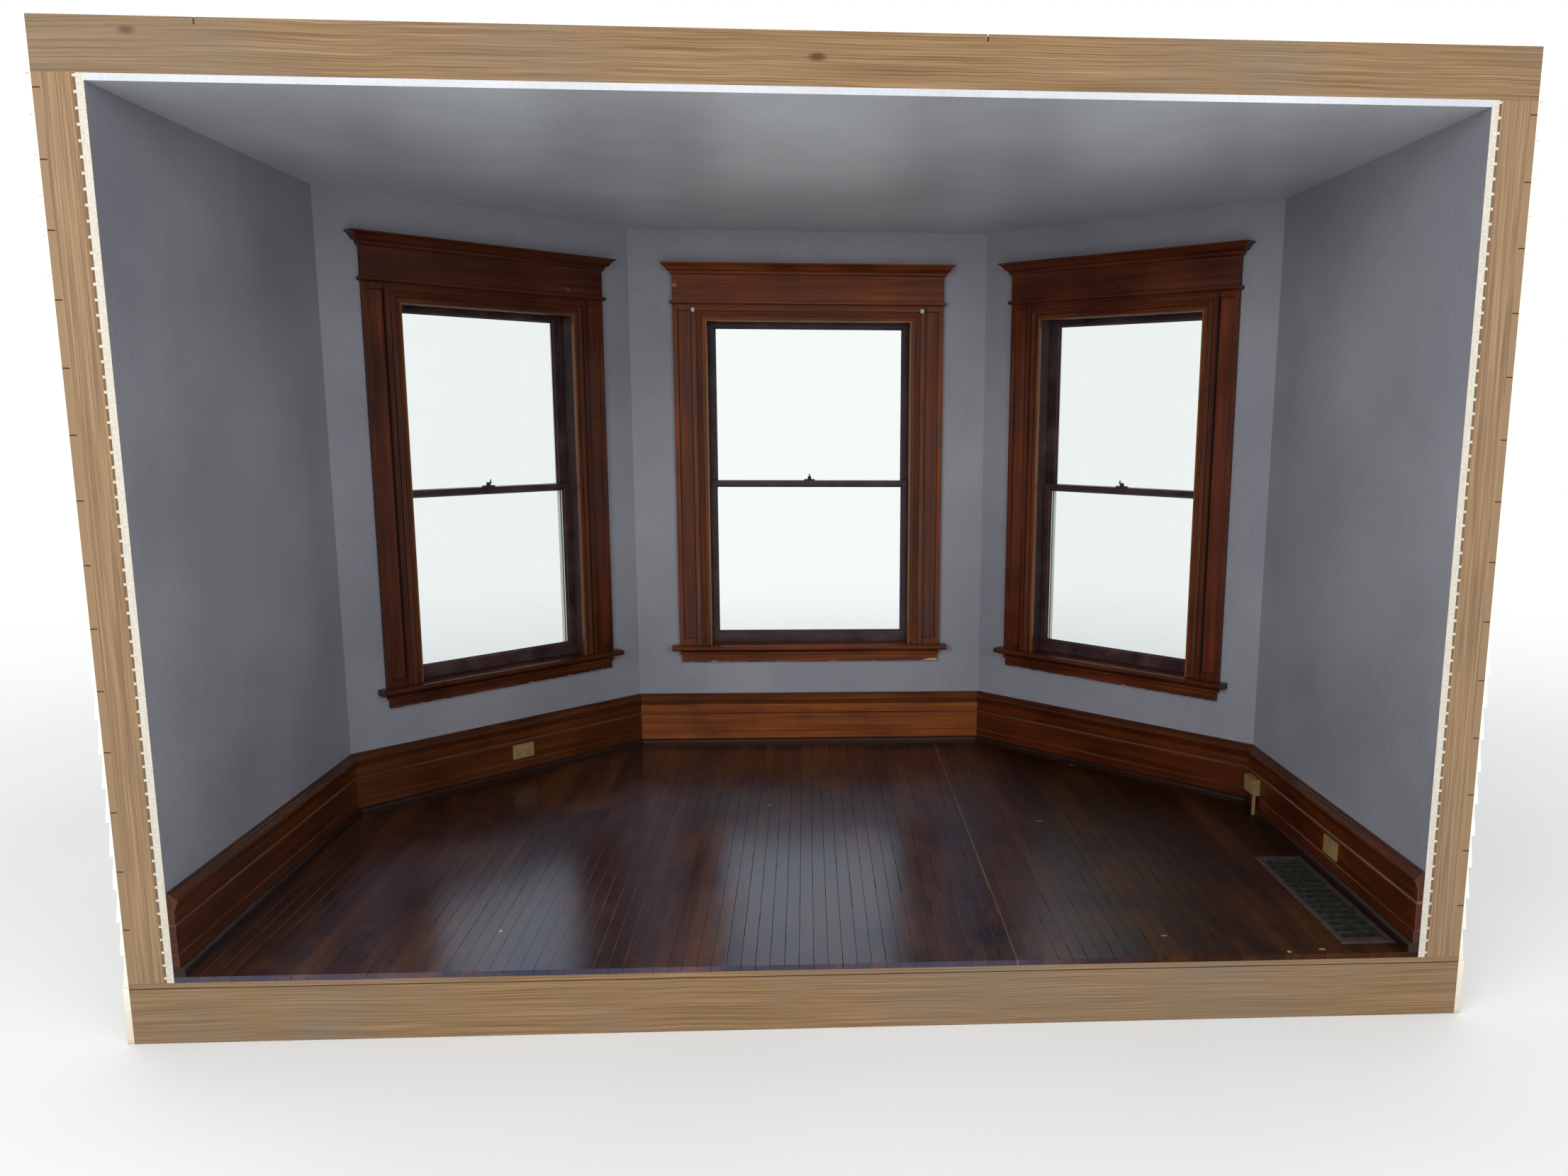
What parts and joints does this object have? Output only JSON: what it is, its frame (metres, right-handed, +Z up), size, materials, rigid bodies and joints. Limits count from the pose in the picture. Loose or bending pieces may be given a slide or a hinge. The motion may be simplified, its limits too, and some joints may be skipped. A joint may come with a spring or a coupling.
{
  "type": "bay window",
  "caption": "Three-sided bay window with double-hung sashes, moulded dark wood casings, baseboards, strip floor and ceiling, cut off where its side walls join the house.",
  "frame": {"origin": "middle of the footprint's box, at the level of the underside", "axes": "+X to the right seen from the room, +Y out through the centre window, +Z up"},
  "size_m": [4.3276, 2.8348, 3.042],
  "materials": {
    "framing_pine": "sawn, bare",
    "floor_strips": "dark stain, gloss varnish, worn",
    "ceiling_plaster": "flat paint on plaster",
    "wall_plaster": "satin paint on plaster",
    "outside_paint": "oil paint on boards",
    "sash_stain": "dark stain and varnish",
    "trim_varnish": "stained, old gloss varnish",
    "pane_glass": "clear",
    "lock_iron": "dull, dark",
    "outlet_ivory": "moulded, glossy",
    "register_paint": "worn brown enamel"
  },
  "bodies": {
    "root": {"floor_platform": "framing_pine", "top_platform": "framing_pine", "strip_floor": "floor_strips", "ceiling": "ceiling_plaster", "centre_wall": "wall_plaster", "left_bay_wall": "wall_plaster", "right_bay_wall": "wall_plaster", "left_side_wall": "wall_plaster", "right_side_wall": "wall_plaster", "siding": "outside_paint", "corner_boards": "outside_paint", "skirt_boards": "outside_paint", "frieze_boards": "outside_paint", "centre_frame": "sash_stain", "centre_upper_sash": "sash_stain", "centre_lower_sash": "sash_stain", "centre_casing": "trim_varnish", "centre_entablature": "trim_varnish", "centre_stool": "trim_varnish", "centre_apron": "trim_varnish", "centre_outside_trim": "outside_paint", "left_frame": "sash_stain", "left_upper_sash": "sash_stain", "left_lower_sash": "sash_stain", "left_casing": "trim_varnish", "left_entablature": "trim_varnish", "left_stool": "trim_varnish", "left_apron": "trim_varnish", "left_outside_trim": "outside_paint", "right_frame": "sash_stain", "right_upper_sash": "sash_stain", "right_lower_sash": "sash_stain", "right_casing": "trim_varnish", "right_entablature": "trim_varnish", "right_stool": "trim_varnish", "right_apron": "trim_varnish", "right_outside_trim": "outside_paint", "window_glass": "pane_glass", "sash_locks": "lock_iron", "centre_baseboard": "trim_varnish", "left_bay_baseboard": "trim_varnish", "right_bay_baseboard": "trim_varnish", "left_side_baseboard": "trim_varnish", "right_side_baseboard": "trim_varnish", "left_outlet": "outlet_ivory", "right_outlet": "outlet_ivory", "corner_outlet_box": "outlet_ivory", "floor_register": "register_paint"}
  },
  "joints": []
}
